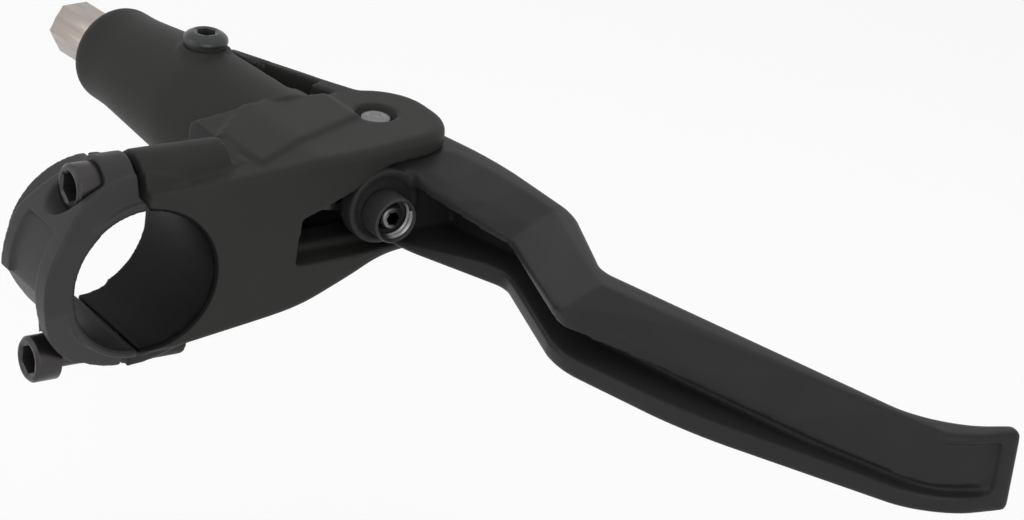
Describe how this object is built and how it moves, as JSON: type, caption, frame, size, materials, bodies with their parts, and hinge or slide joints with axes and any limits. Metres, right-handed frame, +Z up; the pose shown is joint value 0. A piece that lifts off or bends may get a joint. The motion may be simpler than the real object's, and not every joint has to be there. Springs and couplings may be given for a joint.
{
  "type": "bicycle brake lever",
  "caption": "right-hand hydraulic disc brake lever: moulded master cylinder with a split handlebar clamp and a cranked channel-section lever blade with reach screw",
  "frame": {"origin": "middle of the handlebar clamp's bore, on its axis", "axes": "+X along the handlebar towards the grip, +Y forwards from the bar to the lever, +Z up along the lever's pivot"},
  "size_m": [0.1839, 0.0914, 0.0366],
  "materials": {
    "moulded_housing": "satin charcoal fibre-filled moulding",
    "black_aluminium": "black anodised, satin",
    "black_steel": "black oxide",
    "bright_steel": "plain turned steel",
    "nickel_steel": "nickel plated, satin",
    "plain_aluminium": "turned, clear anodised",
    "bleed_metal": "dark anodised",
    "brass": "turned",
    "seal_rubber": "matt"
  },
  "bodies": {
    "housing": {"master_body": "moulded_housing", "clamp_cap": "black_aluminium", "clamp_screws": "black_steel", "clamp_inserts": "brass", "pivot_pin": "bright_steel", "pivot_clip": "bright_steel", "cylinder_liner": "plain_aluminium", "cylinder_gland": "plain_aluminium", "gland_o_ring": "seal_rubber", "gland_clip": "bright_steel", "reservoir_diaphragm": "seal_rubber", "hose_nut": "nickel_steel", "hose_olive": "brass", "bleed_screw": "bleed_metal", "bleed_o_ring": "seal_rubber", "piston_spring": "bright_steel"},
    "lever": {"lever_blade": "black_aluminium", "pivot_bushes": "brass", "reach_insert": "black_steel", "rocker": "plain_aluminium", "rod_pin": "bright_steel"},
    "reach_screw": {"reach_screw": "bright_steel"},
    "push_rod": {"push_rod": "bright_steel"},
    "piston": {"piston": "plain_aluminium", "secondary_seal": "seal_rubber", "primary_seal": "seal_rubber"}
  },
  "joints": [
    {"name": "lever_pull", "type": "hinge", "parent": "housing", "child": "lever", "pos_m": [-0.0037, 0.0445, 0.007], "axis": [0, 0, -1], "range_deg": [0, 20], "stiffness_Nm_per_rad": 0.5, "springref_deg": -20.05},
    {"name": "reach_turn", "type": "hinge", "parent": "lever", "child": "reach_screw", "pos_m": [0.009, 0.039, 0.0062], "axis": [1, 0, 0], "range_deg": [-180, 180]},
    {"name": "rod_swing", "type": "hinge", "parent": "lever", "child": "push_rod", "pos_m": [-0.00097, 0.03472, 0.007], "axis": [0, 0, -1], "range_deg": [-21, 1]},
    {"name": "piston_slide", "type": "slide", "parent": "housing", "child": "piston", "axis": [-0.9952, -0.0976, 0], "range_m": [-0.0001, 0.0037], "deforming": ["piston_spring"]}
  ],
  "couplings": [
    {"joint": "rod_swing", "follows": "lever_pull", "ratio": -1},
    {"joint": "piston_slide", "follows": "lever_pull", "m_per_rad": 0.0101}
  ]
}
